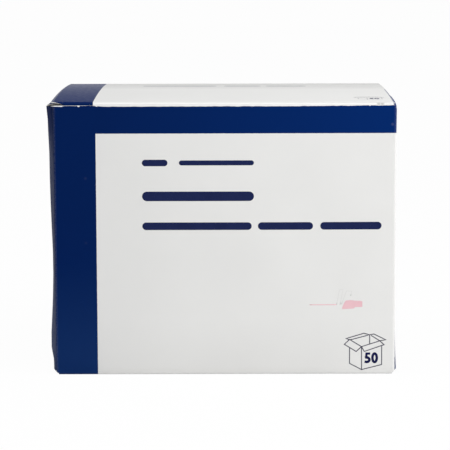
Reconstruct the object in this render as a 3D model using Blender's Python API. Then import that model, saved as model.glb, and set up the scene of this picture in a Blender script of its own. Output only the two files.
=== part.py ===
"""A closed folding carton with a tuck-in lid, holding fifty sealed unit packs that stand on end.

Metres, +Z up. The origin is on the floor, at the middle of the carton's base. The front panel faces -Y.
The carton is one folded blank: four walls in a ring, a glued side seam, glued bottom flaps and two dust flaps
under the lid. The lid and its tuck flap turn about the outer line of the crease along the top of the back,
so the lid folds right back without meeting the back panel.
"""

import math

import bmesh
import bpy
from mathutils import Vector

# Board and folds
BOARD = 0.0005
FOLD_RADIUS = 0.0009
FOLD_STEPS = 3
GLUE_LINE = 0.0001

# Unit packs: a flat seal with a moulded bubble on one side
COLUMNS = 10
ROWS = 5
PACK_LENGTH = 0.118
PACK_WIDTH = 0.0262
PACK_THICKNESS = 0.0174
SEAL_THICKNESS = 0.0006
SEAL_SIDE = 0.0027
SEAL_FOOT = 0.007
PEEL_TAB = 0.015
BUBBLE_SHOULDER = 0.011
BUBBLE_DRAFT = 0.0016
BUBBLE_CROWN = 0.0038
PACK_CORNER = 0.002
BUBBLE_CORNER = 0.0035
PACK_GAP = 0.0004
REST_GAP = 0.0003

# Carton height, and the levels along its top
FRONT_HEIGHT = 0.1430
SIDE_FOLD_DROP = 0.0012
HINGE_RISE = 0.0006
HINGE_GAP = 0.0003

# Lid and tuck flap. Towards the front the lid leans to the left, and its right side sits lower
LID_LIFT = 0.0019
LID_TWIST = 0.0009
LID_CROWN = 0.0012
LID_CROWN_FADE = 0.15
LID_SKEW = 0.0010
LID_FOLD_RADIUS = 0.0013
TUCK_GAP = 0.0004
TUCK_DEPTH = 0.018
LEFT_SHOULDER = 0.0066
SHOULDER_SLANT = 0.85
RIGHT_SHOULDER = 0.0004
TUCK_CORNER = 0.012

# Flaps of the body
DUST_FLAP = 0.052
DUST_FLAP_SPRING = 0.0003
DUST_FLAP_ARCH = [(0.05, 1.0), (0.15, 1.0), (0.4, 0.8), (1.0, 0.6)]
DUST_FLAP_TAPER = 0.16
DUST_FLAP_RELIEF = 0.005
BOTTOM_RELIEF = 0.0005
BOTTOM_SETBACK = 0.003
INNER_BOTTOM_FLAP = 0.075
FLOOR_FLAP_GAP = 0.0005
GLUE_FLAP = 0.014
SEAM_SETBACK = 0.0008

# How far the filled walls stand out: a belly at their middles, and a push that is even from fold to fold
LEFT_BULGE = 0.0064
RIGHT_BULGE = 0.0024
FRONT_BULGE = 0.0009
BACK_BULGE = 0.0016
FOOT_ROUNDING = 0.07
WAIST = 0.27
WAIST_LEVEL = 0.37
WAIST_REACH = 0.2
LEFT_RIM_PUSH = 0.0042
RIGHT_RIM_PUSH = 0.0002
RIM_FROM = 0.84
LEFT_FOOT_PUSH = 0.0017
RIGHT_FOOT_PUSH = 0.0013
FOOT_PUSH_LEVEL = 0.06
PUSH_REACH = 0.0022
# How far the left side's top fold curls up towards its front corner
CORNER_LIFT = 0.0020
CORNER_LIFT_REACH = 0.012

# Print: a dark band along the top and down the left edge of the front
BAND_HEIGHT = 0.0147
BAND_WIDTH = 0.0222
LID_BAND_WIDTH = 0.0205

# Sizes that follow
INNER_WIDTH = COLUMNS * PACK_THICKNESS + (COLUMNS + 1) * PACK_GAP
INNER_DEPTH = ROWS * PACK_WIDTH + (ROWS + 1) * PACK_GAP
WIDTH = INNER_WIDTH + 2 * BOARD
DEPTH = INNER_DEPTH + 2 * BOARD
LEFT, RIGHT = -WIDTH / 2, WIDTH / 2
FRONT, BACK = -DEPTH / 2, DEPTH / 2
LAYER = BOARD + GLUE_LINE
FLOOR = 2 * LAYER + BOARD
SIDE_TOP = FRONT_HEIGHT - SIDE_FOLD_DROP
HINGE_Y = BACK
HINGE_Z = FRONT_HEIGHT + HINGE_RISE


def clear_scene():
    for obj in list(bpy.data.objects):
        bpy.data.objects.remove(obj, do_unlink=True)


def make_material(name, colour, roughness):
    material = bpy.data.materials.new(name)
    material.use_nodes = True
    shader = material.node_tree.nodes["Principled BSDF"]
    shader.inputs["Base Color"].default_value = (*colour, 1.0)
    shader.inputs["Roughness"].default_value = roughness
    shader.inputs["Metallic"].default_value = 0.0
    return material


def add_object(name, mesh, materials):
    obj = bpy.data.objects.new(name, mesh)
    bpy.context.scene.collection.objects.link(obj)
    for material in materials:
        if material.name not in mesh.materials:
            mesh.materials.append(material)
    return obj


def steps(first, last, count):
    """count + 1 even values from first to last."""
    return [first + (last - first) * i / count for i in range(count + 1)]


class Sheet:
    """The printed face of a folded board, made of grids of points that share their edges."""

    def __init__(self):
        self.bm = bmesh.new()
        self.seen = {}

    def vertex(self, point):
        key = tuple(round(c, 7) for c in point)
        if key not in self.seen:
            self.seen[key] = self.bm.verts.new(point)
        return self.seen[key]

    def grid(self, rows, is_dark):
        """Adds faces between rows of points. is_dark(row, column) picks the printed colour of a face."""
        for r in range(len(rows) - 1):
            for c in range(len(rows[r]) - 1):
                corners = (rows[r][c], rows[r][c + 1], rows[r + 1][c + 1], rows[r + 1][c])
                face = self.bm.faces.new([self.vertex(p) for p in corners])
                face.material_index = 1 if is_dark(r, c) else 0
                face.smooth = True

    def finish(self, name, materials):
        """Gives the face its board thickness, on its inner side."""
        mesh = bpy.data.meshes.new(name)
        self.bm.to_mesh(mesh)
        self.bm.free()
        mesh.set_sharp_from_angle(angle=math.radians(40))
        obj = add_object(name, mesh, materials)
        thickness = obj.modifiers.new("board", "SOLIDIFY")
        thickness.thickness = BOARD
        thickness.offset = -1.0
        thickness.use_even_offset = True
        thickness.use_rim = True
        return obj


def side_profile(up):
    """How much of its bulge a side wall has at a share of its height: less at the foot and the waist."""
    foot = 1.0 - max(0.0, 1.0 - up / FOOT_ROUNDING) ** 2
    waist = 1.0 - WAIST * math.exp(-(((up - WAIST_LEVEL) / WAIST_REACH) ** 2))
    return foot * waist


def rim_share(up):
    """0 below the rim, and 1 at the top fold."""
    return max(0.0, (up - RIM_FROM) / (1.0 - RIM_FROM))


def left_bulge(up):
    """The belly is gone at the top fold, where the push takes over."""
    return LEFT_BULGE * side_profile(up) * (1.0 - rim_share(up) ** 1.5)


def foot_share(up):
    """1 at the bottom fold, and soon next to nothing above it."""
    return math.exp(-up / FOOT_PUSH_LEVEL)


def left_push(up):
    """The sprung dust flap pushes the top of the left side out, right from its front corner."""
    return LEFT_RIM_PUSH * rim_share(up) + LEFT_FOOT_PUSH * foot_share(up)


def right_bulge(up):
    return RIGHT_BULGE * side_profile(up)


def right_push(up):
    return RIGHT_RIM_PUSH * rim_share(up) + RIGHT_FOOT_PUSH * foot_share(up)


def front_bulge(up):
    """The front and back panels are straight along their top and bottom edges."""
    return FRONT_BULGE * 4.0 * up * (1.0 - up)


def back_bulge(up):
    return BACK_BULGE * 4.0 * up * (1.0 - up)


def no_push(up):
    return 0.0


class Wall:
    """One panel of the ring: a stretch from start to end that stands out between its two vertical folds."""

    def __init__(self, start, end, outward, bulge, push, low, high, reliefs, fill, end_lift=0.0):
        self.start, self.end, self.outward = Vector(start), Vector(end), Vector(outward)
        self.bulge, self.push = bulge, push
        self.low, self.high, self.end_lift = low, high, end_lift
        self.length = (self.end - self.start).length
        edges = [relief / self.length for relief in reliefs]
        far_edges = [1.0 - edge for edge in reversed(edges)]
        self.shares = [0.0] + edges + fill(self.length, edges[-1]) + far_edges + [1.0]

    def point(self, share, up):
        """A point of the outer face, at a share of the panel's length and of its height."""
        from_fold = self.length * min(share, 1.0 - share)
        belly = self.bulge(up) * 4.0 * share * (1.0 - share)
        out = belly + self.push(up) * (1.0 - math.exp(-from_fold / PUSH_REACH))
        place = self.start.lerp(self.end, share) + self.outward * out
        lift = self.end_lift * rim_share(up) * math.exp(-self.length * (1.0 - share) / CORNER_LIFT_REACH)
        return (place.x, place.y, self.low + (self.high - self.low) * up + lift)

    def flap(self, up, turn, length, taper, runs, spring=0.0):
        """Rows of a flap that folds inwards from the top (turn 1) or bottom (turn -1) edge, fold first.

        runs are the shares of its length that have a row, each with its share of the spring. spring is how
        far the flap rises at the carton's front. At the rear it doesn't rise.
        """
        relief = 1 if turn < 0 else 2
        base = [Vector(self.point(share, up)) for share in self.shares[relief:-relief]]
        middle = (self.start + self.end) / 2
        along = (self.end - self.start).normalized()
        rows = []
        for angle in steps(0.0, math.pi / 2, FOLD_STEPS):
            inward = FOLD_RADIUS * (1.0 - math.cos(angle))
            drop = Vector((0, 0, turn * FOLD_RADIUS * math.sin(angle)))
            rows.append([tuple(p - self.outward * inward + drop) for p in base])
        end_line = (middle - self.outward * (FOLD_RADIUS + length)).dot(self.outward)
        for share, arch in runs:
            row = []
            for p in base:
                reach = p.dot(self.outward) - FOLD_RADIUS - end_line
                offset = (p - middle).dot(along)
                place = p - self.outward * (FOLD_RADIUS + reach * share) - along * (offset * taper * share)
                rise = spring * (BACK - p.y) / DEPTH
                row.append((place.x, place.y, p.z + turn * FOLD_RADIUS + rise * arch))
            rows.append(row)
        return rows


def even_fill(count):
    """Evenly spaced columns between a panel's two reliefs."""
    return lambda length, edge: steps(edge, 1.0 - edge, count)[1:-1]


def front_fill(length, edge):
    """Columns of the front panel, one of them on the edge of the printed band."""
    band = (BAND_WIDTH - FOLD_RADIUS) / length
    return [band] + steps(band, 1.0 - edge, 6)[1:-1]


def corner(centre, first_angle, low, high, radius=FOLD_RADIUS):
    """Columns round a vertical fold: a quarter turn that runs from one wall's levels to the next wall's."""
    columns = []
    for i, angle in enumerate(steps(first_angle, first_angle + math.pi / 2, FOLD_STEPS)):
        share = i / FOLD_STEPS
        place = (centre[0] + radius * math.cos(angle), centre[1] + radius * math.sin(angle))
        levels = (low[0] + (low[1] - low[0]) * share, high[0] + (high[1] - high[0]) * share)
        columns.append((place, levels))
    return columns


def make_carton(materials):
    """The body: glue flap, back, left side, front and right side in one ring, with its flaps."""
    r = FOLD_RADIUS
    front_low, back_low, side_low = r, LAYER + r, 2 * LAYER + r
    side_high = SIDE_TOP - r
    back_high = HINGE_Z - BOARD - HINGE_GAP
    seam_x = RIGHT - LAYER
    side_reliefs = [BOTTOM_RELIEF, DUST_FLAP_RELIEF]
    back = Wall((seam_x - r, BACK, 0), (LEFT + r, BACK, 0), (0, 1, 0), back_bulge, no_push,
                back_low, back_high, [BOTTOM_RELIEF], even_fill(6))
    left = Wall((LEFT, BACK - r, 0), (LEFT, FRONT + r, 0), (-1, 0, 0), left_bulge, left_push,
                side_low, side_high, side_reliefs, even_fill(10), CORNER_LIFT)
    front = Wall((LEFT + r, FRONT, 0), (RIGHT - r, FRONT, 0), (0, -1, 0), front_bulge, no_push,
                 front_low, FRONT_HEIGHT, [BOTTOM_RELIEF], front_fill)
    right = Wall((RIGHT, FRONT + r, 0), (RIGHT, BACK - SEAM_SETBACK, 0), (1, 0, 0), right_bulge, right_push,
                 side_low, side_high, side_reliefs, even_fill(8))

    band_row = (FRONT_HEIGHT - BAND_HEIGHT - front_low) / (FRONT_HEIGHT - front_low)
    ups = [0.0, 0.02, 0.05, 0.09] + steps(0.15, band_row, 8) + [0.95, 1.0]
    dark_row = ups.index(band_row)

    def seam_column(y, up):
        """The glue flap lies against the inner face of the right side, bulge and all."""
        share = (y - right.start.y) / (right.end.y - right.start.y)
        x, _, z = right.point(share, up)
        return (x - LAYER, y, z)

    ring = []
    darks = []

    def add_columns(columns, is_dark):
        for column in columns:
            if ring:
                darks.append(is_dark)
            ring.append(column)

    def wall_columns(wall):
        return [[wall.point(share, up) for up in ups] for share in wall.shares]

    def corner_columns(centre, first_angle, low, high):
        columns = []
        for place, (bottom, top) in corner(centre, first_angle, low, high)[1:-1]:
            columns.append([(*place, bottom + (top - bottom) * up) for up in ups])
        return columns

    def everywhere(row):
        return True

    def top_band(row):
        return row >= dark_row

    seam_ys = steps(BACK - r - GLUE_FLAP, BACK - r, 2)
    seam = [[seam_column(y, up) for up in ups] for y in seam_ys[:-1]]
    seam.append([(seam_x, seam_ys[-1], z) for _, _, z in seam[-1]])
    add_columns(seam, top_band)
    add_columns(corner_columns((seam_x - r, BACK - r), 0.0, (side_low, back_low),
                               (side_high, back_high)), top_band)
    add_columns(wall_columns(back), top_band)
    add_columns(corner_columns((LEFT + r, BACK - r), math.pi / 2, (back_low, side_low),
                               (back_high, side_high)), everywhere)
    add_columns(wall_columns(left), everywhere)
    add_columns(corner_columns((LEFT + r, FRONT + r), math.pi, (side_low, front_low),
                               (side_high + CORNER_LIFT, FRONT_HEIGHT)), everywhere)
    add_columns(wall_columns(front)[:3], everywhere)
    add_columns(wall_columns(front)[3:], top_band)
    add_columns(corner_columns((RIGHT - r, FRONT + r), -math.pi / 2, (front_low, side_low),
                               (FRONT_HEIGHT, side_high)), top_band)
    add_columns(wall_columns(right), everywhere)

    sheet = Sheet()
    rows = [[column[i] for column in ring] for i in range(len(ups))]
    sheet.grid(rows, lambda row, c: darks[c](row))

    def plain(row, column):
        return False

    def along_the_fold(row, column):
        return row < FOLD_STEPS

    floor_runs = [(0.5, 0.0), (1.0, 0.0)]
    floor_flap = INNER_WIDTH / 2 - FLOOR_FLAP_GAP - FOLD_RADIUS
    for wall in (left, right):
        sheet.grid(wall.flap(1.0, 1, DUST_FLAP, DUST_FLAP_TAPER, DUST_FLAP_ARCH, DUST_FLAP_SPRING),
                   along_the_fold)
        sheet.grid(wall.flap(0.0, -1, floor_flap, 0.0, floor_runs)[::-1], plain)
    outer = DEPTH - 2 * r - BOTTOM_SETBACK
    sheet.grid(front.flap(0.0, -1, outer, 0.0, floor_runs)[::-1], plain)
    sheet.grid(back.flap(0.0, -1, INNER_BOTTOM_FLAP, 0.0, floor_runs)[::-1], plain)
    return sheet.finish("carton", materials)


def fillet(before, at, after, radius, count):
    """Points of an arc that rounds the corner at 'at', in the YZ plane."""
    back_way = (before - at).normalized()
    on_way = (after - at).normalized()
    half = back_way.angle(on_way) / 2
    reach = radius / math.tan(half)
    centre = at + (back_way + on_way).normalized() * (radius / math.sin(half))
    first = at + back_way * reach - centre
    last = at + on_way * reach - centre
    sweep = first.angle(last)
    return [centre + (first * math.sin(sweep * (1 - t)) + last * math.sin(sweep * t)) / math.sin(sweep)
            for t in steps(0.0, 1.0, count)]


def lid_profile():
    """The lid's outer face in the YZ plane, from the hinge to the fold, then down the tuck flap.

    The tuck flap follows a circle about the hinge, so it clears the front panel at every angle.
    The crown comes later, because it fades towards the lid's right edge.
    """
    rear = Vector((0, HINGE_Y, HINGE_Z))
    swing = HINGE_Y - (FRONT + BOARD + TUCK_GAP)
    fold_z = FRONT_HEIGHT + LID_LIFT
    fold = Vector((0, HINGE_Y - math.sqrt(swing**2 - (fold_z - HINGE_Z) ** 2), fold_z))
    top = []
    for share in steps(0.0, 1.0, 12)[:-1]:
        top.append(rear.lerp(fold, share))
    tuck = []
    for drop in steps(0.0, TUCK_DEPTH, 8)[1:]:
        z = fold_z - drop
        tuck.append(Vector((0, HINGE_Y - math.sqrt(swing**2 - (HINGE_Z - z) ** 2), z)))
    round_fold = fillet(top[-1], fold, tuck[0], LID_FOLD_RADIUS, 4)
    return top, round_fold, tuck


def make_lid(materials):
    """The lid panel and its tuck flap, one folded piece with its pivot on the crease."""
    top, round_fold, tuck = lid_profile()
    half = WIDTH / 2
    tuck_left = -half + LEFT_SHOULDER
    tuck_right = half - RIGHT_SHOULDER
    band = -half + LID_BAND_WIDTH
    xs = [tuck_left, band] + steps(band, tuck_right, 6)[1:]
    reach = HINGE_Y - round_fold[0].y
    sheet = Sheet()

    def set_in_place(x, place):
        """Adds the crown and the lean, then turns the point down about the hinge, more towards the right."""
        across = (x + half) / WIDTH
        forward = min(1.0, (HINGE_Y - place.y) / reach)
        crown = LID_CROWN * (1.0 - LID_CROWN_FADE * across) * 4.0 * forward * (1.0 - forward)
        turn = LID_TWIST / reach * across
        y, z = place.y - HINGE_Y, place.z + crown - HINGE_Z
        turned_y = y * math.cos(turn) - z * math.sin(turn)
        turned_z = y * math.sin(turn) + z * math.cos(turn)
        return (x - LID_SKEW * forward, HINGE_Y + turned_y, HINGE_Z + turned_z)

    def is_band(row, column):
        return column < 2

    def is_tuck_band(row, column):
        return column < 1

    lid_rows = []
    for place in top + round_fold[:1]:
        lid_rows.append([set_in_place(x, place) for x in [-half] + xs + [half]])
    sheet.grid(lid_rows[::-1], is_band)
    fold_rows = []
    for i, place in enumerate(round_fold):
        slanted = -half + LEFT_SHOULDER * SHOULDER_SLANT * i / (len(round_fold) - 1)
        fold_rows.append([set_in_place(x, place) for x in [slanted] + xs])
    sheet.grid(fold_rows[::-1], is_band)
    rows = [[set_in_place(x, round_fold[-1]) for x in xs]]
    bottom = tuck[-1].z
    middle = (tuck_left + tuck_right) / 2
    span = tuck_right - middle
    for place in tuck:
        rise = min(place.z - bottom, TUCK_CORNER)
        lost = TUCK_CORNER - math.sqrt(TUCK_CORNER**2 - (TUCK_CORNER - rise) ** 2)
        rows.append([set_in_place(middle + (x - middle) * (span - lost) / span, place) for x in xs])
    sheet.grid(rows[::-1], is_tuck_band)
    lid = sheet.finish("lid", materials)
    pivot = Vector((0, HINGE_Y, HINGE_Z))
    for vertex in lid.data.vertices:
        vertex.co -= pivot
    lid.location = pivot
    return lid


def chamfered(half_y, low, high, cut, x):
    """An upright rectangle with cut corners in the plane at x."""
    return [(x, y * sy, z) for y, z, sy in (
        (half_y - cut, low, -1), (half_y - cut, low, 1), (half_y, low + cut, 1), (half_y, high - cut, 1),
        (half_y - cut, high, 1), (half_y - cut, high, -1), (half_y, high - cut, -1), (half_y, low + cut, -1))]


def pack_mesh():
    """One sealed pack, standing on its foot: the flat seal at its back and the bubble towards +X."""
    half = PACK_WIDTH / 2
    bubble = half - SEAL_SIDE
    low, high = SEAL_FOOT, PACK_LENGTH - PEEL_TAB
    draft, crown = BUBBLE_DRAFT, BUBBLE_DRAFT + BUBBLE_CROWN
    loops = [
        chamfered(half, 0.0, PACK_LENGTH, PACK_CORNER, 0.0),
        chamfered(half, 0.0, PACK_LENGTH, PACK_CORNER, SEAL_THICKNESS),
        chamfered(bubble, low, high, BUBBLE_CORNER, SEAL_THICKNESS),
        chamfered(bubble - draft, low + draft, high - draft, BUBBLE_CORNER, BUBBLE_SHOULDER),
        chamfered(bubble - crown, low + crown, high - crown, BUBBLE_CORNER, PACK_THICKNESS),
    ]
    bm = bmesh.new()
    rings = [[bm.verts.new(point) for point in loop] for loop in loops]
    for lower, upper in zip(rings, rings[1:]):
        for i in range(len(lower)):
            j = (i + 1) % len(lower)
            bm.faces.new((lower[i], lower[j], upper[j], upper[i]))
    bm.faces.new(rings[0][::-1])
    bm.faces.new(rings[-1])
    mesh = bpy.data.meshes.new("unit_pack")
    bm.to_mesh(mesh)
    bm.free()
    mesh.shade_smooth()
    mesh.set_sharp_from_angle(angle=math.radians(25))
    return mesh


def make_packs(material):
    """Fifty packs on end: columns across the carton, rows from front to back, all on the carton's floor."""
    mesh = pack_mesh()
    first_x = -INNER_WIDTH / 2 + PACK_GAP
    first_y = -INNER_DEPTH / 2 + PACK_GAP + PACK_WIDTH / 2
    for row in range(ROWS):
        for column in range(COLUMNS):
            number = row * COLUMNS + column + 1
            pack = add_object(f"unit_pack_{number:02d}", mesh, [material])
            pack.location = (
                first_x + column * (PACK_THICKNESS + PACK_GAP),
                first_y + row * (PACK_WIDTH + PACK_GAP),
                FLOOR + REST_GAP,
            )


def main():
    clear_scene()
    carton_board = make_material("carton_board", (0.78, 0.78, 0.77), 0.45)
    carton_band = make_material("carton_band", (0.004, 0.018, 0.095), 0.35)
    lid_board = make_material("lid_board", (0.78, 0.78, 0.77), 0.4)
    lid_band = make_material("lid_band", (0.004, 0.018, 0.095), 0.3)
    pack_film = make_material("pack_film", (0.80, 0.83, 0.86), 0.3)
    make_carton([carton_board, carton_band])
    make_lid([lid_board, lid_band])
    make_packs(pack_film)


main()
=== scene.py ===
"""The looks of a folding carton of needle packs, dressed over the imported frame.

Metres, in the frame of the CAD part: the front panel faces -Y and the floor is at z = 0.
"""

import math

import bmesh
import bpy
from mathutils import Matrix, Vector
from mathutils.bvhtree import BVHTree


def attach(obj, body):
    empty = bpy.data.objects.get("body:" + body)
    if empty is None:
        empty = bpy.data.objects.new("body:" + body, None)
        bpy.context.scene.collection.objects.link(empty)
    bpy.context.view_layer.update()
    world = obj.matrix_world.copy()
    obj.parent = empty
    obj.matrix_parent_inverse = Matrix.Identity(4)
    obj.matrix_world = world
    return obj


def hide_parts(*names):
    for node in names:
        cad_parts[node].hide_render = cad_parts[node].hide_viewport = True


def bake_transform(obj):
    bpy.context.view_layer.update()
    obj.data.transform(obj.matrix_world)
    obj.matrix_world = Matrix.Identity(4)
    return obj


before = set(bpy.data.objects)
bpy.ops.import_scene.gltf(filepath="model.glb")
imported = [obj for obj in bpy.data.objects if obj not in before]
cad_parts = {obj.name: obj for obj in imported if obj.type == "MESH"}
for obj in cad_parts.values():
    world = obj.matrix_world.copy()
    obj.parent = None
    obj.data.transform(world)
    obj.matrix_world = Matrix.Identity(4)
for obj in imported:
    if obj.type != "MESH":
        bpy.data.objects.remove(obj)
bpy.context.view_layer.update()

# Sizes of the carton, as in the part
HALF_WIDTH = 0.0897
HALF_DEPTH = 0.0672
FRONT_HEIGHT = 0.1430
HINGE_Z = 0.1436
COLUMNS = 10
ROWS = 5
PACK_PITCH_X = 0.0178
PACK_PITCH_Y = 0.0266
FIRST_PACK = (-0.0888, -0.0532, 0.0020)

# Unit packs, as in the part
PACK_LENGTH = 0.118
PACK_HALF = 0.0131
PACK_THICKNESS = 0.0174
BUBBLE_HALF = 0.0104
BUBBLE_LOW = 0.007
BUBBLE_HIGH = 0.103
BUBBLE_SHOULDER = 0.011
BUBBLE_DRAFT = 0.0016
BUBBLE_CROWN = 0.0038

# Finer shapes of the packs' paper and film, which the part leaves out
PAPER_THICKNESS = 0.00028
PAPER_CORNER = 0.002
CORNER_STEPS = 4
BUBBLE_CORNER = 0.0035
CROWN_STEPS = 5
FILM_FACES = (0.00032, 0.00058)
FILM_INSET = 0.0002
FILM_LOOSE_END = 0.0148
CURL_START = 0.004
CURL_DEPTH = 0.0022
CURL_POWER = 1.8
CURL_CUP = 0.0003

# Angles that tell the faces of a sheet apart, and that keep its cut edges sharp, in degrees
SAME_FACE_ANGLE = 50
SHEET_SHARP_ANGLE = 38
PACK_SHARP_ANGLE = 35

# Faces of a sheet of board, as the numbers of their materials
PRINTED_FACE = 0
INNER_FACE = 1
CUT_FACE = 2

# Print: the ends of its bands, the softness and waviness of their edges, and the film of ink
BAND_Z = 0.1283
BAND_X = -0.0675
LID_BAND_X = -0.0687
FLAP_BLEED = 0.0045
LID_SKEW = 0.0010
INK_SOFT = 0.00008
INK_WOBBLE = 0.00016
INK_LIFT = 0.00003
INK_SINK = 0.00002

# The white margin that the front's cover leaves on the right side, at the foot and over it
FOOT_TOP = (0.0085, 0.0095)
SIDE_MARGIN = (0.0010, 0.0024)

# Colours of ink and board
NAVY = (0.0003, 0.0124, 0.084)
RIGHT_NAVY = (0.0003, 0.0198, 0.131)
# Darker navy: painted shade on the left side
SHADED_SIDE_NAVY = (0.0020, 0.0045, 0.018)
FOOT_NAVY = (0.0045, 0.0245, 0.113)
RUBBED_NAVY = (0.02, 0.035, 0.12)
COUNT_NAVY = (0.008, 0.010, 0.058)
PRINT_NAVY = (0.009, 0.015, 0.068)
LINE_NAVY = (0.085, 0.085, 0.115)
COVER = (0.80, 0.80, 0.79)
# The lid's white, lighter than the carton's, as painted light on its top
LIT_LID_COVER = (0.835, 0.835, 0.825)
# Grey of the painted shade at the carton's foot, at the lid's rear and in the lid's dents
PAINTED_SHADE_GREY = (0.50, 0.50, 0.49)
# Pale colour of real wear, and of the painted highlights on the folds
PALE_WEAR_AND_HIGHLIGHT = (0.93, 0.93, 0.92)

# Wear: nicks in the front's raw edge as x and radius, and scuffs as x, z, radius, softness and strength
NICKS = (
    (-0.0762, 0.0006),
    (-0.0668, 0.0005),
    (-0.0327, 0.0004),
    (-0.0314, 0.0004),
    (0.0072, 0.0004),
    (0.0299, 0.0003),
    (0.0450, 0.0003),
    (0.0757, 0.0004),
)
NICK_SOFT = 0.0003
SCUFFS = (
    (0.0876, 0.1329, 0.0004, 0.0006, 0.035),
    (-0.0730, 0.1048, 0.0003, 0.0008, 0.012),
    (-0.0731, 0.0706, 0.0003, 0.0008, 0.008),
)

# Two dents in the lid's front fold, painted as spots of shade
DENT_SHADE_SPOTS = ((0.0804, -0.0659, 0.1437), (0.0822, -0.0659, 0.1437))
DENT_RADIUS = 0.0005
DENT_SOFT = 0.0011

# Bars in the places of words, as left, right, lower and upper end
FRONT_BARS = (
    (-0.0434, -0.0300, 0.1112, 0.1146),
    (-0.0240, 0.0152, 0.1116, 0.1142),
    (-0.0434, 0.0152, 0.0928, 0.0978),
    (-0.0434, 0.0140, 0.0775, 0.0815),
    (0.0173, 0.0462, 0.0775, 0.0815),
    (0.0500, 0.0822, 0.0775, 0.0815),
)
LID_BARS = (
    (-0.0465, -0.0046, 0.0350, 0.0415),
    (-0.0005, 0.0205, 0.0350, 0.0415),
    (0.0232, 0.0463, 0.0350, 0.0415),
)
BAR_STEP = 0.004
BAR_TIP = 0.00005
BAR_END_STEPS = 8

# The faded needle on the front: its line, its hub as x with the lower and upper end, and its shield
NEEDLE_LINE = [(0.0446, 0.0374), (0.0588, 0.0374)]
NEEDLE_WIDTH = 0.00045
NEEDLE_HUB = (
    (0.0617, 0.0350, 0.0358),
    (0.0628, 0.0350, 0.0384),
    (0.0636, 0.0351, 0.0396),
    (0.0662, 0.0352, 0.0398),
    (0.0680, 0.0354, 0.0396),
    (0.0686, 0.0361, 0.0395),
    (0.0712, 0.0361, 0.0394),
    (0.0724, 0.0362, 0.0391),
)
SHIELD_LINES = (
    [(0.0588, 0.0372), (0.0603, 0.0455), (0.0622, 0.0455), (0.0606, 0.0372)],
    [(0.0614, 0.0376), (0.0640, 0.0448), (0.0668, 0.0446), (0.0662, 0.0420)],
)
SHIELD_WIDTH = 0.0004

# The open carton with the count: where it stands on the front and on the lid, and its lines in millimetres
FRONT_SIGN = (0.0630, 0.00235)
LID_SIGN = (0.0688, -0.0505)
LID_SIGN_SCALE = 0.74
SIGN_WIDTH = 0.0005
SIGN_LINES = (
    [(2.8, 11.9), (2.8, 3.4), (9.2, 0.0), (19.8, 2.7), (19.8, 12.8)],
    [(9.1, 12.4), (9.2, 0.0)],
    [(2.8, 16.3), (0.0, 13.7), (6.3, 9.8), (9.1, 12.4), (2.8, 16.3)],
    [(9.1, 12.4), (10.6, 9.8), (21.0, 13.4), (18.8, 15.5), (9.1, 12.4)],
    [(3.2, 16.1), (0.9, 16.8), (10.3, 19.6), (13.4, 18.8), (3.2, 16.1)],
    [(13.4, 18.8), (15.6, 19.2), (21.9, 16.1), (18.8, 15.5)],
    [(14.2, 18.4), (18.8, 15.5)],
    [(13.4, 18.8), (13.4, 13.9)],
)
FIVE_PLACE = (10.75, 3.62)
ZERO_PLACE = (16.1, 6.37)

# Longest step along a printed line, and the least that a corner's mitre is divided by
LINE_STEP = 0.0022
LEAST_MITRE = 0.5

# The crease between the back panel and the lid, as y and z from the panel up and over to the lid
CREASE_PROFILE = (
    (0.06727, 0.1414),
    (0.06727, 0.1420),
    (0.06727, 0.1426),
    (0.06727, 0.1429),
    (0.06728, 0.1432),
    (0.06728, 0.1434),
    (0.06725, 0.14358),
    (0.06712, 0.14368),
    (0.0668, 0.14370),
    (0.0662, 0.14373),
    (0.0656, 0.14376),
)
CREASE_COLUMNS = 24
CREASE_THICKNESS = 0.00012

# Camera, fitted to the corners of the front panel
CAMERA_PLACE = (0.0, -1.197, 0.2438)
CAMERA_PITCH = 8.25
CAMERA_ROLL = -0.14
CAMERA_LENS = 173.9

# Floor and light: each lamp has a name, a place, a size and a power
FLOOR_REACH = 30.0
FLOOR_COLOUR = (0.95, 0.95, 0.95, 1)
FLOOR_WHITE_SHARE = 0.97
WORLD_COLOUR = (0.97, 0.98, 1.0, 1)
WORLD_LEVEL = 0.45
LAMPS = (
    ("near", (0.3, -0.45, 0.60), 0.5, 1.54),
    ("side", (1.1, -0.50, 0.45), 0.8, 6.3),
    ("top", (0.0, -0.25, 1.10), 0.8, 2.4),
)
LAMP_COLOUR = (1.0, 0.99, 0.97)
LAMP_AIM = (0, 0, 0.07)


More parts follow.
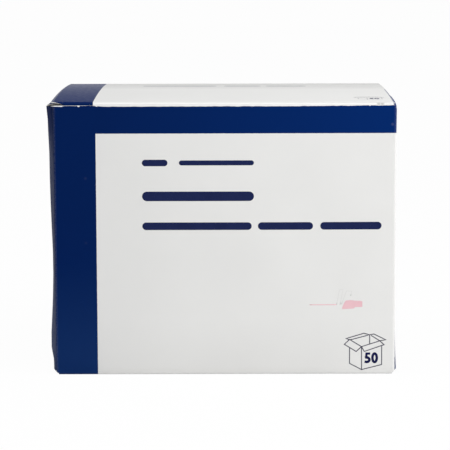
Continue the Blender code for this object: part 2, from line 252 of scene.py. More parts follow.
class Look:
    """One procedural material. Its masks and patterns are built on the object's own coordinates."""

    def __init__(self, name):
        self.material = bpy.data.materials.new(name)
        self.material.use_nodes = True
        self.nodes = self.material.node_tree.nodes
        self.links = self.material.node_tree.links
        self.shader = self.nodes["Principled BSDF"]
        self.place = self.nodes.new("ShaderNodeTexCoord").outputs["Object"]
        self.x, self.y, self.z = self.split(self.place)

    def feed(self, socket, value):
        """Link the socket to another, or set its value."""
        if isinstance(value, bpy.types.NodeSocket):
            self.links.new(value, socket)
        elif isinstance(value, tuple) and len(value) == 3 and len(socket.default_value) == 4:
            socket.default_value = (*value, 1.0)
        else:
            socket.default_value = value

    def split(self, vector):
        """The three parts of a vector."""
        node = self.nodes.new("ShaderNodeSeparateXYZ")
        self.feed(node.inputs[0], vector)
        return node.outputs[0], node.outputs[1], node.outputs[2]

    def math(self, operation, *values):
        """One step of arithmetic."""
        node = self.nodes.new("ShaderNodeMath")
        node.operation = operation
        for socket, value in zip(node.inputs, values):
            self.feed(socket, value)
        return node.outputs[0]

    def chain(self, operation, first, others):
        """The operation on the first two values, then on its result and the third, and so on."""
        for other in others:
            first = self.math(operation, first, other)
        return first

    def plus(self, first, *others):
        return self.chain("ADD", first, others)

    def times(self, first, *others):
        return self.chain("MULTIPLY", first, others)

    def highest(self, first, *others):
        return self.chain("MAXIMUM", first, others)

    def absolute(self, value):
        """The value without its sign."""
        return self.math("ABSOLUTE", value)

    def opposite(self, mask):
        """1 where the mask is 0, and 0 where it is 1."""
        return self.math("SUBTRACT", 1.0, mask)

    def rise(self, value, start, end, low=0.0, high=1.0):
        """low before start, high after end, and even between them."""
        node = self.nodes.new("ShaderNodeMapRange")
        self.feed(node.inputs["Value"], value)
        node.inputs["From Min"].default_value = start
        node.inputs["From Max"].default_value = end
        node.inputs["To Min"].default_value = low
        node.inputs["To Max"].default_value = high
        return node.outputs[0]

    def fall(self, value, start, end):
        """1 before start, 0 after end, and even between them."""
        return self.rise(value, start, end, 1.0, 0.0)

    def beyond(self, value, edge, soft=INK_SOFT):
        """1 over the edge and 0 under it, with a soft step between."""
        return self.rise(value, edge - soft, edge + soft)

    def before(self, value, edge, soft=INK_SOFT):
        """1 under the edge and 0 over it, with a soft step between."""
        return self.fall(value, edge - soft, edge + soft)

    def noise(self, scale, detail=2.0, roughness=0.5, stretch=(1, 1, 1)):
        """Soft noise. scale is about how many of its spots there are in a metre."""
        mapping = self.nodes.new("ShaderNodeMapping")
        self.feed(mapping.inputs["Vector"], self.place)
        mapping.inputs["Scale"].default_value = stretch
        node = self.nodes.new("ShaderNodeTexNoise")
        self.links.new(mapping.outputs[0], node.inputs["Vector"])
        node.inputs["Scale"].default_value = scale
        node.inputs["Detail"].default_value = detail
        node.inputs["Roughness"].default_value = roughness
        return node.outputs[0]

    def spot(self, centre, radius, soft):
        """1 within the radius of a point, fading to 0 over the soft width round it."""
        node = self.nodes.new("ShaderNodeVectorMath")
        node.operation = "DISTANCE"
        self.feed(node.inputs[0], self.place)
        node.inputs[1].default_value = centre
        return self.fall(node.outputs["Value"], radius, radius + soft)

    def mix(self, share, first, second):
        """The first colour, with that share of the second."""
        node = self.nodes.new("ShaderNodeMix")
        node.data_type = "RGBA"
        self.feed(node.inputs["Factor"], share)
        self.feed(node.inputs[6], first)
        self.feed(node.inputs[7], second)
        return node.outputs[2]

    def facing(self):
        """The three parts of the surface's own direction."""
        return self.split(self.nodes.new("ShaderNodeNewGeometry").outputs["True Normal"])

    def bumps(self, *layers):
        """Each layer is a height and the depth of its relief in metres."""
        normal = None
        for height, depth in layers:
            node = self.nodes.new("ShaderNodeBump")
            node.inputs["Distance"].default_value = depth
            self.feed(node.inputs["Height"], height)
            if normal:
                self.links.new(normal, node.inputs["Normal"])
            normal = node.outputs[0]
        self.links.new(normal, self.shader.inputs["Normal"])

    def finish(self, colour, roughness, specular):
        """Feed the shader, and give back the material."""
        self.feed(self.shader.inputs["Base Color"], colour)
        self.feed(self.shader.inputs["Roughness"], roughness)
        self.shader.inputs["Specular IOR Level"].default_value = specular
        return self.material


def board_relief(look):
    """Coated board: a fine tooth, a slight orange peel and long soft waves."""
    tooth = look.noise(2600.0, 3.0, 0.6)
    peel = look.noise(420.0, 2.0)
    waves = look.noise(19.0, 1.0)
    look.bumps((waves, 0.0006), (peel, 0.000012), (tooth, 0.000006))
    return tooth, peel


def printed_board(name, ink_of, roughness=0.58, specular=0.03, dulled=0.0, cover=COVER, side_shade=0.0):
    """Coated white board with navy ink where ink_of says, worn along its folds and raw edges.
    It takes painted highlights on folds, and painted shade where ink_of gives it.

    dulled is how much rougher it is at the front than at the rear, where no hand rubs it. side_shade is how
    far the ink of the left side goes towards a darker one, as painted shade.
    """
    look = Look(name)
    tooth, peel = board_relief(look)
    wobble = look.times(look.math("SUBTRACT", look.noise(700.0), 0.5), INK_WOBBLE)
    ink, wear_and_highlight, shade = ink_of(look, wobble)
    tone = look.noise(26.0, 3.0)
    duller_cover = tuple(0.98 * part for part in cover)
    white = look.mix(look.rise(tone, 0.35, 0.65), cover, duller_cover)
    # Painted shade: where ink_of gives shade, the white goes towards grey
    white = look.mix(shade, white, PAINTED_SHADE_GREY)
    navy = look.mix(look.rise(look.x, -0.065, 0.085), NAVY, RIGHT_NAVY)
    navy = look.mix(look.rise(tone, 0.3, 0.7, 0.0, 0.06), navy, RIGHT_NAVY)
    navy = look.mix(look.fall(look.z, 0.012, 0.060), navy, FOOT_NAVY)
    # Painted shade: the ink of the left side is darker
    left_side_shade = look.times(look.fall(look.x, -HALF_WIDTH, -HALF_WIDTH + 0.0006), side_shade)
    navy = look.mix(left_side_shade, navy, SHADED_SIDE_NAVY)
    navy = look.mix(look.rise(tooth, 0.62, 0.8, 0.0, 0.12), navy, RUBBED_NAVY)
    colour = look.mix(wear_and_highlight, look.mix(ink, white, navy), PALE_WEAR_AND_HIGHLIGHT)
    rough = look.plus(roughness, look.rise(peel, 0.3, 0.7, -0.05, 0.05))
    rough = look.plus(rough, look.rise(look.y, HALF_DEPTH, -HALF_DEPTH, 0.0, dulled))
    rough = look.highest(rough, look.times(wear_and_highlight, 0.8))
    return look.finish(colour, rough, specular)


def carton_ink(look, wobble):
    """The carton's ink, its worn places with painted highlights, and painted shade at its foot. Flat faces,
    such as the flaps, get none of the painted shade.
    """
    wide = look.absolute(look.x)
    deep = look.absolute(look.y)
    flat = look.rise(look.absolute(look.facing()[2]), 0.75, 0.85)
    ink = carton_bands(look, wobble, wide, flat)
    wear_and_highlight = look.highest(*fold_wear_and_highlight(look, wide, deep), *front_marks(look))
    return ink, wear_and_highlight, painted_foot_shade(look, flat)


def carton_bands(look, wobble, wide, flat):
    """Navy sides, a band along the top of the front and back, and a band down the left of the front.

    A white margin runs round the right fold on to the side. The sides' navy runs a little on to the flaps.
    """
    front = look.before(look.y, 0.0, 0.001)
    margin = look.times(look.rise(look.x, 0.0, 0.01), look.rise(look.z, *FOOT_TOP, *SIDE_MARGIN))
    behind = look.beyond(look.plus(look.y, look.math("SUBTRACT", HALF_DEPTH, margin)), 0.0, 0.0001)
    side = look.times(look.rise(wide, HALF_WIDTH - 0.0003, HALF_WIDTH - 0.0002), behind)
    top = look.beyond(look.plus(look.z, wobble), BAND_Z)
    left = look.times(look.before(look.plus(look.x, wobble), BAND_X), front)
    bleed = look.rise(wide, HALF_WIDTH - FLAP_BLEED - 0.0001, HALF_WIDTH - FLAP_BLEED)
    wall = look.highest(side, top, left)
    return look.plus(look.times(wall, look.opposite(flat)), look.times(bleed, flat))


def fold_wear_and_highlight(look, wide, deep):
    """Pale specks along the upright folds, for cracked ink and as a painted highlight on the folds, and the
    pale rim of the raw edges at the top.
    """
    fold = look.times(look.rise(wide, HALF_WIDTH - 0.0014, HALF_WIDTH - 0.0007),
                      look.rise(deep, HALF_DEPTH - 0.0014, HALF_DEPTH - 0.0007))
    # Cracked ink, and a painted highlight along the folds
    specks = look.times(look.rise(look.noise(1700.0, 3.0), 0.35, 0.75), fold, 0.06)
    upright = look.rise(deep, HALF_DEPTH - 0.002, HALF_DEPTH - 0.001)
    left_end = look.fall(look.x, -0.0850, -0.0838)
    middle = look.times(look.rise(look.x, -0.070, -0.064), look.fall(look.x, 0.035, 0.088))
    frayed = look.rise(look.noise(260.0, 3.0), 0.3, 0.7, -0.00014, 0.0001)
    lip = look.plus(look.plus(look.z, frayed), look.times(look.highest(middle, left_end), 0.0004))
    strength = look.highest(look.rise(look.x, -0.070, -0.064, 0.7, 1.0), left_end)
    rim = look.times(look.rise(lip, FRONT_HEIGHT - 0.0002, FRONT_HEIGHT - 0.00008), upright, strength)
    return specks, rim


def front_marks(look):
    """Nicks in the front panel's raw edge, and faint scuffs on its navy."""
    nicks = [look.spot((x, -HALF_DEPTH, FRONT_HEIGHT + 0.0001), radius, NICK_SOFT) for x, radius in NICKS]
    scuffs = [look.times(look.spot((x, -HALF_DEPTH, z), radius, soft), strength)
              for x, z, radius, soft, strength in SCUFFS]
    return nicks + scuffs


def painted_foot_shade(look, flat):
    """Painted shade: a dark line along the floor, under a long soft painted shade that fades out at the
    right.
    """
    line = look.times(look.fall(look.z, 0.0, 0.004), 0.12)
    shade = look.times(look.fall(look.z, 0.0, 0.03), look.rise(look.x, 0.050, 0.078, 0.2, 0.02))
    return look.times(look.plus(line, shade), look.opposite(flat))


def lid_ink(look, wobble):
    """A navy band down the left of the lid and of its tuck flap, and a dark navy line painted on its right
    rim as shade.

    The front fold is painted pale as a highlight, apart from two dents painted as spots of shade. The white
    is painted greyer towards the hinge, as shade.
    """
    band = look.before(look.plus(look.x, wobble), LID_BAND_X)
    # Painted shade: a dark navy line along the lid's right rim
    squared = look.plus(look.x, look.rise(look.y, -HALF_DEPTH, HALF_DEPTH, LID_SKEW, 0.0))
    rim_shade = look.times(look.rise(squared, HALF_WIDTH - 0.0007, HALF_WIDTH - 0.0005),
                        look.fall(look.y, 0.005, 0.018),
                        look.rise(look.z, FRONT_HEIGHT - 0.001, FRONT_HEIGHT - 0.0005), 0.65)
    ink = look.highest(band, rim_shade)
    rim = look.times(look.rise(look.absolute(look.x), HALF_WIDTH - 0.0003, HALF_WIDTH - 0.0001),
                     look.rise(look.noise(1100.0, 3.0), 0.35, 0.75), 0.35)
    # Painted shade: two dark spots for the dents in the front fold
    dent_shade = look.highest(*[look.spot(place, DENT_RADIUS, DENT_SOFT) for place in DENT_SHADE_SPOTS])
    # Painted highlight: the front fold is paler, apart from the dents
    fold = look.times(look.fall(look.y, -0.0663, -0.0655), look.rise(look.z, 0.1422, 0.1427),
                      look.opposite(ink), look.opposite(dent_shade))
    # Painted shade: the white grows greyer towards the hinge
    rear = look.rise(look.y, 0.0, HALF_DEPTH)
    shade = look.plus(look.times(rear, rear, 0.40), look.rise(look.y, 0.008, 0.030, 0.0, 0.22))
    return ink, look.highest(rim, fold), look.plus(shade, look.times(dent_shade, 0.8))


def raw_board(name):
    """The unprinted inner face: greyish recycled board with fibres."""
    look = Look(name)
    fibres = look.noise(900.0, 4.0, 0.7, (1.0, 1.0, 0.25))
    clouds = look.noise(60.0, 3.0)
    specks = look.noise(1500.0, 2.0)
    colour = look.mix(look.rise(clouds, 0.3, 0.7), (0.60, 0.585, 0.545), (0.665, 0.65, 0.61))
    colour = look.mix(look.rise(fibres, 0.5, 0.75, 0.0, 0.35), colour, (0.48, 0.46, 0.42))
    colour = look.mix(look.rise(specks, 0.72, 0.76, 0.0, 0.5), colour, (0.30, 0.28, 0.25))
    look.bumps((clouds, 0.0003), (fibres, 0.00003))
    return look.finish(colour, look.rise(fibres, 0.3, 0.7, 0.86, 0.96), 0.15)


def cut_edge(name):
    """Bare fibres where the board was die-cut."""
    look = Look(name)
    fibres = look.noise(2400.0, 4.0, 0.7)
    clouds = look.noise(300.0, 2.0)
    colour = look.mix(look.rise(fibres, 0.3, 0.7), (0.92, 0.915, 0.90), (0.78, 0.765, 0.73))
    colour = look.mix(look.rise(clouds, 0.45, 0.7, 0.0, 0.4), colour, (0.93, 0.925, 0.91))
    look.bumps((clouds, 0.00008), (fibres, 0.00005))
    return look.finish(colour, look.rise(fibres, 0.3, 0.7, 0.8, 0.95), 0.15)


def print_ink(name, colour, second, thin=0.0):
    """Offset ink on the coated board, a little uneven. thin lets that much of the cover through."""
    look = Look(name)
    tooth, peel = board_relief(look)
    tone = look.mix(look.rise(look.noise(160.0, 3.0), 0.3, 0.7), colour, second)
    tone = look.mix(look.rise(tooth, 0.6, 0.8, thin, thin + 0.05), tone, COVER)
    return look.finish(tone, look.rise(peel, 0.3, 0.7, 0.5, 0.6), 0.06)


def pack_film(name):
    """Milky formed film, with the needle's shield and its pink hub showing faintly through."""
    look = Look(name)
    across = look.absolute(look.y)
    clouds = look.noise(120.0, 2.0)
    grain = look.noise(1400.0, 2.0)
    shield = look.times(look.fall(across, 0.0028, 0.0046), look.rise(look.z, 0.030, 0.036),
                        look.fall(look.z, 0.086, 0.092))
    hub = look.times(look.fall(across, 0.0036, 0.0052), look.rise(look.z, 0.015, 0.019),
                     look.fall(look.z, 0.031, 0.034))
    colour = look.mix(look.rise(clouds, 0.3, 0.7), (0.74, 0.77, 0.80), (0.80, 0.82, 0.84))
    colour = look.mix(look.times(shield, 0.35), colour, (0.50, 0.54, 0.58))
    colour = look.mix(look.times(hub, 0.45), colour, (0.82, 0.42, 0.52))
    look.bumps((clouds, 0.0004), (grain, 0.000008))
    return look.finish(colour, look.rise(grain, 0.3, 0.7, 0.22, 0.34), 0.5)


def pack_paper(name):
    """White medical paper with a fine pressed seal pattern."""
    look = Look(name)
    fibres = look.noise(1800.0, 4.0, 0.7)
    clouds = look.noise(90.0, 3.0)
    ribs_per_metre = 5200.0
    weave = look.math("SINE", look.times(look.plus(look.y, look.z), ribs_per_metre))
    cross = look.math("SINE", look.times(look.math("SUBTRACT", look.y, look.z), ribs_per_metre))
    knurl = look.highest(weave, cross)
    colour = look.mix(look.rise(clouds, 0.3, 0.7), (0.80, 0.80, 0.78), (0.85, 0.85, 0.84))
    colour = look.mix(look.rise(fibres, 0.5, 0.8, 0.0, 0.25), colour, (0.70, 0.70, 0.69))
    look.bumps((knurl, 0.00004), (fibres, 0.00002))
    return look.finish(colour, look.rise(fibres, 0.3, 0.7, 0.75, 0.9), 0.2)


def new_object(name, mesh, materials):
    """An object of the mesh in the scene, with these materials in its slots."""
    obj = bpy.data.objects.new(name, mesh)
    bpy.context.scene.collection.objects.link(obj)
    for material in materials:
        mesh.materials.append(material)
    return obj


def mesh_of(bm, name):
    """The finished mesh. The bmesh is freed."""
    mesh = bpy.data.meshes.new(name)
    bm.to_mesh(mesh)
    bm.free()
    return mesh


def folded_sheet(node, name, seed_of, materials, body):
    """A node's board as one welded, smooth sheet. Its faces are told apart: printed, inner and cut edge."""
    bm = bmesh.new()
    bm.from_mesh(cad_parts[node].data)
    bmesh.ops.remove_doubles(bm, verts=bm.verts, dist=1e-6)
    bmesh.ops.dissolve_degenerate(bm, edges=bm.edges, dist=1e-7)
    bm.normal_update()
    bm.faces.ensure_lookup_table()
    for face in bm.faces:
        face.smooth = True
        face.material_index = CUT_FACE
    seed = seed_of(bm)
    flood(seed, PRINTED_FACE)
    middle = seed.calc_center_median()
    inner = [f for f in bm.faces if f.material_index == CUT_FACE and f.normal.dot(seed.normal) < -0.99]
    flood(min(inner, key=lambda f: (f.calc_center_median() - middle).length), INNER_FACE)
    mesh = mesh_of(bm, name)
    mesh.set_sharp_from_angle(angle=math.radians(SHEET_SHARP_ANGLE))
    obj = new_object(name, mesh, materials)
    weights = obj.modifiers.new("weights", "WEIGHTED_NORMAL")
    weights.keep_sharp = True
    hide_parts(node)
    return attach(obj, body)


def flood(seed, index):
    """Give the material to the seed and to all the faces that it runs on to without a sharp turn."""
    sharp = math.radians(SAME_FACE_ANGLE)
    waiting = [seed]
    seed.material_index = index
    while waiting:
        face = waiting.pop()
        for edge in face.edges:
            for other in edge.link_faces:
                if other.material_index == CUT_FACE and other.normal.angle(face.normal, 0.0) < sharp:
                    other.material_index = index
                    waiting.append(other)


def front_seed(bm):
    """A face on the outside of the front panel."""
    return min((f for f in bm.faces if f.normal.y < -0.99), key=lambda f: f.calc_center_median().y)


def lid_seed(bm):
    """A face on the top of the lid."""
    return max((f for f in bm.faces if f.normal.z > 0.99), key=lambda f: f.calc_center_median().z)


def surface_of(obj):
    """The object's faces, to lay print on."""
    mesh = obj.data
    return BVHTree.FromPolygons([v.co for v in mesh.vertices], [tuple(p.vertices) for p in mesh.polygons])


def finer(points):
    """The same line with no step longer than LINE_STEP."""
    line = [points[0]]
    for a, b in zip(points, points[1:]):
        count = max(1, math.ceil(math.dist(a, b) / LINE_STEP))
        line += [tuple(p + (q - p) * i / count for p, q in zip(a, b)) for i in range(1, count + 1)]
    return line


def left_of(way):
    """The direction square to the way, on its left."""
    return Vector((-way.y, way.x))


def stroke(points, width, closed=False):
    """Pairs of points on the two sides of a line of even width, with mitred corners."""
    line = finer(points + points[:1] if closed else points)
    pairs = []
    for i, p in enumerate(line):
        before = line[i - 1] if i else (line[-2] if closed else None)
        after = line[i + 1] if i + 1 < len(line) else (line[1] if closed else None)
        steps = [(a, b) for a, b in ((before, p), (p, after)) if a and b]
        ways = [Vector((b[0] - a[0], b[1] - a[1])).normalized() for a, b in steps]
        side = left_of(sum(ways, Vector((0, 0))).normalized())
        reach = width / 2 / max(LEAST_MITRE, side.dot(left_of(ways[0])))
        dx, dz = side.x * reach, side.y * reach
        pairs.append(((p[0] + dx, p[1] + dz), (p[0] - dx, p[1] - dz)))
    return pairs


def bar(x0, x1, z0, z1):
    """Pairs of points on the upper and lower side of a bar with round ends."""
    radius = (z1 - z0) / 2
    middle = (z0 + z1) / 2
    angles = [math.pi / 2 * i / BAR_END_STEPS for i in range(BAR_END_STEPS + 1)]
    left = [(x0 + radius * (1 - math.cos(a)), radius * math.sin(a)) for a in angles]
    right = [(x1 - radius * (1 - math.cos(a)), radius * math.sin(a)) for a in reversed(angles)]
    pairs = []
    for x, half in left + right:
        half = max(half, BAR_TIP)
        start = pairs[-1][0][0] if pairs else x
        count = math.ceil((x - start) / BAR_STEP)
        between = [start + (x - start) * i / count for i in range(1, count)]
        pairs += [((step, middle + half), (step, middle - half)) for step in between + [x]]
    return pairs


def print_shape(name, strips, surface, material, body, upward=False):
    """Ink on the board: strips of flat shapes, laid on the front panel or, with upward, on the lid."""
    outward = Vector((0, 0, 1)) if upward else Vector((0, -1, 0))
    bm = bmesh.new()

    def place(point):
        start = Vector((point[0], point[1], 1.0)) if upward else Vector((point[0], -1.0, point[1]))
        return surface.ray_cast(start, -outward)[0] + outward * INK_LIFT

    for pairs in strips:
        ring = math.dist(pairs[0][0], pairs[-1][0]) < 1e-7
        rows = [[bm.verts.new(place(p)) for p in pair] for pair in (pairs[:-1] if ring else pairs)]
        if ring:
            rows.append(rows[0])
        for a, b in zip(rows, rows[1:]):
            bm.faces.new((a[0], a[1], b[1], b[0]))
    bm.normal_update()
    for face in bm.faces:
        face.smooth = True
        if face.normal.dot(outward) < 0:
            face.normal_flip()
    obj = new_object(name, mesh_of(bm, name), [material])
    film = obj.modifiers.new("film", "SOLIDIFY")
    film.thickness = INK_LIFT + INK_SINK
    film.offset = -1.0
    obj.modifiers.new("weights", "WEIGHTED_NORMAL")
    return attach(obj, body)


def on_sign(points, place=(0.0, 0.0)):
    """Points in millimetres from a place on the sign, as metres from its lower left corner."""
    return [((place[0] + x) / 1000, (place[1] + z) / 1000) for x, z in points]


def ellipse(rx, rz, first=0.0, last=2 * math.pi, count=28, centre=(0.0, 0.0)):
    """Points along an ellipse, from the first angle to the last."""
    angles = [first + (last - first) * i / count for i in range(count + 1)]
    return [(centre[0] + rx * math.cos(a), centre[1] + rz * math.sin(a)) for a in angles]


def carton_sign():
    """Strips of an open carton in outline, from its lower left corner, and of the count 50 on it."""
    lines = [stroke(on_sign(points), SIGN_WIDTH) for points in SIGN_LINES]
    five_top = [(2.98, 5.02), (1.02, 5.02), (0.84, 2.55)]
    five_bowl = ellipse(1.44, 1.24, math.radians(128), math.radians(-112), 16, (1.17, 1.71)) + [(0.02, 0.58)]
    zero = ellipse(1.15, 2.30)[:-1]
    narrow, wide = 0.0012, 0.00135
    digits = [
        stroke(on_sign(five_top, FIVE_PLACE), narrow),
        stroke(on_sign(five_bowl, FIVE_PLACE), wide),
        stroke(on_sign(zero, ZERO_PLACE), wide, closed=True),
    ]
    return lines, digits


def shifted(strips, dx, dz, scale=1.0):
    """The strips at another size and place."""
    return [[tuple((x * scale + dx, z * scale + dz) for x, z in pair) for pair in pairs] for pairs in strips]


def add_print(carton, lid):
    """Plain bars in the places of words, an open carton with the count, and a faded needle."""
    front, top = surface_of(carton), surface_of(lid)
    navy = print_ink("ink_navy", PRINT_NAVY, (0.011, 0.018, 0.078))
    count = print_ink("ink_count", COUNT_NAVY, (0.010, 0.012, 0.066))
    grey = print_ink("ink_line", LINE_NAVY, (0.095, 0.095, 0.125))
    pink = print_ink("ink_pink", (0.80, 0.45, 0.51), (0.82, 0.50, 0.55), 0.12)
    faint = print_ink("ink_faint", (0.70, 0.70, 0.69), (0.73, 0.73, 0.72), 0.3)
    pale = print_ink("ink_pale", (0.30, 0.30, 0.34), (0.36, 0.36, 0.39), 0.3)
    lines, digits = carton_sign()
    needle = stroke(NEEDLE_LINE, NEEDLE_WIDTH)
    hub = [((x, high), (x, low)) for x, low, high in NEEDLE_HUB]
    on_front = (
        ("print_bars", [bar(*ends) for ends in FRONT_BARS], navy),
        ("print_carton_sign", shifted(lines, *FRONT_SIGN), grey),
        ("print_count", shifted(digits, *FRONT_SIGN), count),
        ("print_needle", [needle, hub], pink),
        ("print_shield", [stroke(points, SHIELD_WIDTH) for points in SHIELD_LINES], faint),
    )
    on_lid = (
        ("lid_print_sign", shifted(lines, *LID_SIGN, LID_SIGN_SCALE), pale),
        ("lid_print_count", shifted(digits, *LID_SIGN, LID_SIGN_SCALE), count),
        ("lid_print_bars", [bar(*ends) for ends in LID_BARS], pale),
    )
    for name, strips, ink in on_front:
        print_shape(name, strips, front, ink, "carton")
    for name, strips, ink in on_lid:
        print_shape(name, strips, top, ink, "lid", upward=True)


def add_crease(materials):
    """The fold between the back panel and the lid."""
    half = HALF_WIDTH - 0.0002
    columns = [-half + 2 * half * i / CREASE_COLUMNS for i in range(CREASE_COLUMNS + 1)]
    bm = bmesh.new()
    rows = [[bm.verts.new((x, y, z)) for x in columns] for y, z in CREASE_PROFILE]
    for low, high in zip(rows, rows[1:]):
        for i in range(CREASE_COLUMNS):
            bm.faces.new((low[i + 1], low[i], high[i], high[i + 1])).smooth = True
    obj = new_object("lid_crease", mesh_of(bm, "lid_crease"), materials)
    board = obj.modifiers.new("board", "SOLIDIFY")
    board.thickness = CREASE_THICKNESS
    board.offset = -1.0
    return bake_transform(obj)


def crease_ink(look, wobble):
    """Navy on the back panel's side of the crease, and the lid's band on the lid's side."""
    band = look.before(look.plus(look.x, wobble), LID_BAND_X)
    behind = look.fall(look.z, HINGE_Z - 0.0004, HINGE_Z - 0.0002)
    line = look.times(look.rise(look.z, HINGE_Z - 0.0005, HINGE_Z - 0.0002),
                      look.fall(look.z, HINGE_Z, HINGE_Z + 0.0001))
    wear_and_highlight = look.times(look.rise(look.noise(900.0, 3.0), 0.5, 0.62), line, 0.5)
    return look.highest(band, behind), wear_and_highlight, 0.0


def rounded(half_y, low, high, radius, x):
    """An upright rectangle with round corners in the plane at x."""
    points = []
    for corner, (sy, z) in enumerate(((1, high), (-1, high), (-1, low), (1, low))):
        centre_y = sy * (half_y - radius)
        centre_z = z - radius if z == high else z + radius
        for i in range(CORNER_STEPS + 1):
            angle = math.pi / 2 * (corner + i / CORNER_STEPS)
            points.append((x, centre_y + radius * math.cos(angle), centre_z + radius * math.sin(angle)))
    return points


def finish_faces(faces, index):
    """Smooth the faces and give them the material."""
    for face in faces:
        face.smooth = True
        face.material_index = index


def loft(bm, loops, index):
    """A closed skin through the loops, with a face at each end."""
    rings = [[bm.verts.new(p) for p in loop] for loop in loops]
    faces = []
    for a, b in zip(rings, rings[1:]):
        for i in range(len(a)):
            j = (i + 1) % len(a)
            faces.append(bm.faces.new((a[i], a[j], b[j], b[i])))
    faces.append(bm.faces.new(rings[0][::-1]))
    faces.append(bm.faces.new(rings[-1]))
    finish_faces(faces, index)


def film_flange(bm, index):
    """The film's rim round the bubble, with its loose end curling forward at the top."""
    columns = [-PACK_HALF + FILM_INSET + (2 * PACK_HALF - 2 * FILM_INSET) * i / 6 for i in range(7)]
    levels = [FILM_INSET, 0.03, 0.06, 0.09, BUBBLE_HIGH]
    levels += [BUBBLE_HIGH + FILM_LOOSE_END * i / 6 for i in range(1, 7)]

    def curled(x, y, z):
        share = max(0.0, (z - BUBBLE_HIGH - CURL_START) / (PACK_LENGTH - BUBBLE_HIGH - CURL_START))
        depth = CURL_DEPTH * share ** CURL_POWER
        return x + depth + CURL_CUP * math.cos(y * 240.0) * depth / CURL_DEPTH, y, z

    back, front = [[[bm.verts.new(curled(x, y, z)) for y in columns] for z in levels] for x in FILM_FACES]
    faces = []
    for r in range(len(levels) - 1):
        for c in range(len(columns) - 1):
            faces.append(bm.faces.new((front[r][c], front[r][c + 1], front[r + 1][c + 1], front[r + 1][c])))
            faces.append(bm.faces.new((back[r][c], back[r + 1][c], back[r + 1][c + 1], back[r][c + 1])))
    for r in range(len(levels) - 1):
        for c, step in ((0, 1), (-1, -1)):
            quad = (back[r][c], front[r][c], front[r + 1][c], back[r + 1][c])
            faces.append(bm.faces.new(quad[::step]))
    for c in range(len(columns) - 1):
        for r, step in ((0, -1), (-1, 1)):
            quad = (back[r][c], front[r][c], front[r][c + 1], back[r][c + 1])
            faces.append(bm.faces.new(quad[::step]))
    finish_faces(faces, index)


def pack_mesh():
    """One sealed pack: a paper back, a film rim and a formed bubble with a rounded crown.

    Each level of the bubble has its inset from the foot, the radius of its corners and its depth.
    """
    film, paper = 0, 1
    bm = bmesh.new()
    loft(bm, [rounded(PACK_HALF, 0.0, PACK_LENGTH, PAPER_CORNER, x) for x in (0.0, PAPER_THICKNESS)], paper)
    film_flange(bm, film)
    levels = [
        (-0.0002, 0.0037, 0.0005),
        (0.0001, BUBBLE_CORNER, 0.0009),
        (0.0008, BUBBLE_CORNER, 0.0058),
        (BUBBLE_DRAFT, BUBBLE_CORNER, BUBBLE_SHOULDER),
    ]
    for i in range(1, CROWN_STEPS + 1):
        angle = math.pi / 2 * i / CROWN_STEPS
        inset = BUBBLE_DRAFT + BUBBLE_CROWN * (1 - math.cos(angle))
        depth = BUBBLE_SHOULDER + (PACK_THICKNESS - BUBBLE_SHOULDER) * math.sin(angle)
        levels.append((inset, BUBBLE_CORNER - 0.0004 * i, depth))
    loft(bm, [rounded(BUBBLE_HALF - inset, BUBBLE_LOW + inset, BUBBLE_HIGH - inset, radius, depth)
              for inset, radius, depth in levels], film)
    bmesh.ops.recalc_face_normals(bm, faces=bm.faces)
    mesh = mesh_of(bm, "pack_piece")
    mesh.set_sharp_from_angle(angle=math.radians(PACK_SHARP_ANGLE))
    return mesh


def add_packs():
    """The packs, in rows from the front to the back."""
    mesh = pack_mesh()
    mesh.materials.append(pack_film("pack_film_look"))
    mesh.materials.append(pack_paper("pack_paper_look"))
    x, y, z = FIRST_PACK
    for row in range(ROWS):
        for column in range(COLUMNS):
            number = row * COLUMNS + column + 1
            obj = new_object(f"pack_piece_{number:02d}", mesh, [])
            obj.location = (x + column * PACK_PITCH_X, y + row * PACK_PITCH_Y, z)
            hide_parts(f"unit_pack_{number:02d}")
            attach(obj, "carton")


def background_share(nodes, links):
    """1 for the rays that see the background: from the camera, in reflections and through clear things."""
    rays = nodes.new("ShaderNodeLightPath")
    share = rays.outputs["Is Camera Ray"]
    for output in ("Is Glossy Ray", "Is Transmission Ray"):
        highest = nodes.new("ShaderNodeMath")
        highest.operation = "MAXIMUM"
        links.new(share, highest.inputs[0])
        links.new(rays.outputs[output], highest.inputs[1])
        share = highest.outputs[0]
    return share


def add_floor():
    """A wide pale floor that takes the carton's shadow."""
    material = bpy.data.materials.new("floor_pale")
    material.use_nodes = True
    nodes, links = material.node_tree.nodes, material.node_tree.links
    nodes.remove(nodes["Principled BSDF"])
    matte = nodes.new("ShaderNodeBsdfDiffuse")
    matte.inputs["Color"].default_value = FLOOR_COLOUR
    white = nodes.new("ShaderNodeEmission")
    share = nodes.new("ShaderNodeMath")
    share.operation = "MULTIPLY"
    links.new(background_share(nodes, links), share.inputs[0])
    share.inputs[1].default_value = FLOOR_WHITE_SHARE
    mix = nodes.new("ShaderNodeMixShader")
    links.new(share.outputs[0], mix.inputs[0])
    links.new(matte.outputs[0], mix.inputs[1])
    links.new(white.outputs[0], mix.inputs[2])
    links.new(mix.outputs[0], nodes["Material Output"].inputs["Surface"])
    bm = bmesh.new()
    corners = ((-1, -1), (1, -1), (1, 1), (-1, 1))
    bm.faces.new([bm.verts.new((x * FLOOR_REACH, y * FLOOR_REACH, 0.0)) for x, y in corners])
    mesh = mesh_of(bm, "floor")
    new_object("floor", mesh, [material])


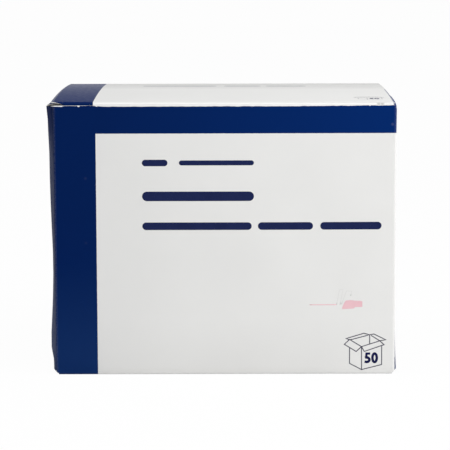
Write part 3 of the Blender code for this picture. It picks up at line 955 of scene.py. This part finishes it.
def add_world():
    """An even soft light, with a plain white background behind it."""
    world = bpy.data.worlds.new("studio")
    bpy.context.scene.world = world
    world.use_nodes = True
    nodes, links = world.node_tree.nodes, world.node_tree.links
    fill = nodes["Background"]
    fill.inputs["Color"].default_value = WORLD_COLOUR
    fill.inputs["Strength"].default_value = WORLD_LEVEL
    white = nodes.new("ShaderNodeBackground")
    white.inputs["Color"].default_value = (1, 1, 1, 1)
    mix = nodes.new("ShaderNodeMixShader")
    links.new(background_share(nodes, links), mix.inputs[0])
    links.new(fill.outputs[0], mix.inputs[1])
    links.new(white.outputs[0], mix.inputs[2])
    links.new(mix.outputs[0], nodes["World Output"].inputs["Surface"])


def add_lamp(name, place, size, power):
    """A square soft lamp, turned to the middle of the carton."""
    data = bpy.data.lights.new(name, "AREA")
    data.shape = "SQUARE"
    data.size = size
    data.energy = power
    data.color = LAMP_COLOUR
    lamp = bpy.data.objects.new(name, data)
    bpy.context.scene.collection.objects.link(lamp)
    lamp.location = place
    lamp.rotation_euler = (Vector(LAMP_AIM) - Vector(place)).to_track_quat("-Z", "Y").to_euler()


def add_camera():
    """The photo's camera. It looks a little down, with a slight roll."""
    data = bpy.data.cameras.new("camera")
    data.sensor_width = 36.0
    data.lens = CAMERA_LENS
    data.clip_start = 0.05
    data.clip_end = 100.0
    camera = bpy.data.objects.new("camera", data)
    bpy.context.scene.collection.objects.link(camera)
    camera.matrix_world = (Matrix.Translation(CAMERA_PLACE)
                           @ Matrix.Rotation(math.radians(90 - CAMERA_PITCH), 4, "X")
                           @ Matrix.Rotation(math.radians(CAMERA_ROLL), 4, "Z"))
    bpy.context.scene.camera = camera


def main():
    """Dress the carton, its lid and its packs, and set the stage."""
    bpy.context.scene.view_settings.view_transform = "Standard"
    raw, edge = raw_board("board_raw"), cut_edge("board_edge")
    carton_look = printed_board("carton_print", carton_ink, side_shade=0.35)
    lid_look = printed_board("lid_print", lid_ink, 0.35, 0.05, dulled=0.25, cover=LIT_LID_COVER)
    carton = folded_sheet("carton", "carton_sheet", front_seed, [carton_look, raw, edge],
                          "carton")
    lid = folded_sheet("lid", "lid_sheet", lid_seed, [lid_look, raw, edge], "lid")
    add_crease([printed_board("crease_print", crease_ink)])
    add_print(carton, lid)
    add_packs()
    add_floor()
    add_world()
    for lamp in LAMPS:
        add_lamp(*lamp)
    add_camera()
    bpy.context.view_layer.update()


main()
